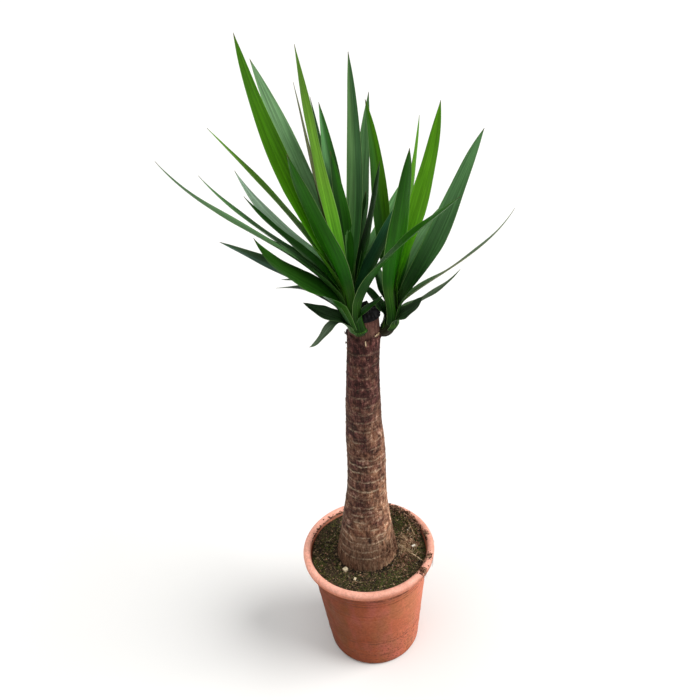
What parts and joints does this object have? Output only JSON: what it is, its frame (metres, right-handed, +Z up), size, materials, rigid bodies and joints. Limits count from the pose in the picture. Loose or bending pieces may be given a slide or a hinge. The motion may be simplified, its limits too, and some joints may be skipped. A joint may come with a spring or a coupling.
{
  "type": "potted yucca plant",
  "caption": "Potted yucca: a thick bare cane with leaf scars and a wax-sealed top, leafy shoots with sword-shaped leaves beside it, standing in soil in a round tapered pot with a rolled rim",
  "frame": {"origin": "the centre of the pot's underside, on the surface it stands on", "axes": "+Z up along the pot's axis and the cane, -Y towards the front of the picture, +X to its right"},
  "size_m": [0.5555, 0.3219, 1.242],
  "materials": {
    "terracotta_plastic": "matt orange-red plastic, slightly dusty",
    "soil": "rough dark potting soil with green moss",
    "bark": "rough red-brown bark with pale ring-shaped leaf scars",
    "wax": "dull black sealing wax",
    "leaf": "smooth, slightly waxy green leaf",
    "pale_wood": "pale dry wood"
  },
  "bodies": {
    "root": {"pot": "terracotta_plastic", "soil": "soil", "trunk": "bark", "wax_seal": "wax", "crown_left": "leaf", "crown_right": "leaf", "wood_chip_cube": "pale_wood", "wood_chip_flake": "pale_wood", "wood_chip_splinter": "pale_wood"}
  },
  "joints": []
}
